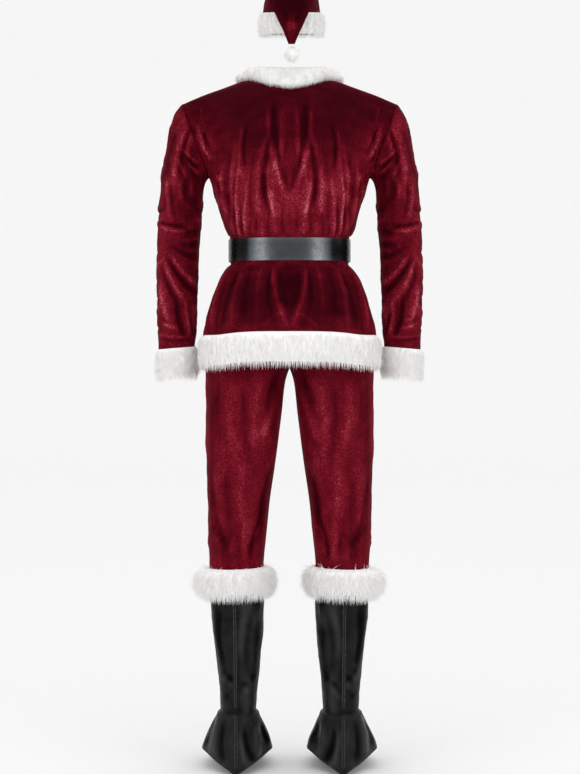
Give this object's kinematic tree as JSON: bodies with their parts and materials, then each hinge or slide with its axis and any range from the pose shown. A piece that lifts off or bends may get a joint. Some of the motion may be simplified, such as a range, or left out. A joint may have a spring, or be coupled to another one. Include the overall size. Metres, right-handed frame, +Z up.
{
  "type": "santa suit",
  "caption": "Worn velvet santa suit, hollow: fur-trimmed jacket, belt, trousers, boot covers and a floppy hat, seen standing as on a wearer.",
  "frame": {"origin": "middle of the shoulders, 1.5 m above the floor under the heels, where the wearer holds the suit up", "axes": "+Z up, the back of the suit faces -Y and its front +Y, the wearer's right is +X"},
  "size_m": [0.6059, 0.3825, 1.829],
  "materials": {
    "velvet": "crushed velvet, burgundy",
    "fur": "long faux fur, white",
    "leathercloth": "satin black leathercloth",
    "belt_leather": "glossy black leathercloth",
    "buckle_metal": "nickel plate"
  },
  "bodies": {
    "root": {"jacket_back": "velvet", "jacket_front_left": "velvet", "jacket_front_right": "velvet", "sleeve_left": "velvet", "sleeve_right": "velvet", "trousers_leg_left": "velvet", "trousers_leg_right": "velvet", "trousers_waistband": "velvet", "hat_cone": "velvet", "collar_fur": "fur", "hem_fur": "fur", "cuff_fur_left": "fur", "cuff_fur_right": "fur", "boot_fur_left": "fur", "boot_fur_right": "fur", "hat_band_fur": "fur", "hat_pompom": "fur", "boot_shaft_left": "leathercloth", "boot_shaft_right": "leathercloth", "boot_foot_left": "leathercloth", "boot_foot_right": "leathercloth", "belt_strap": "belt_leather", "belt_buckle": "buckle_metal"}
  },
  "joints": []
}
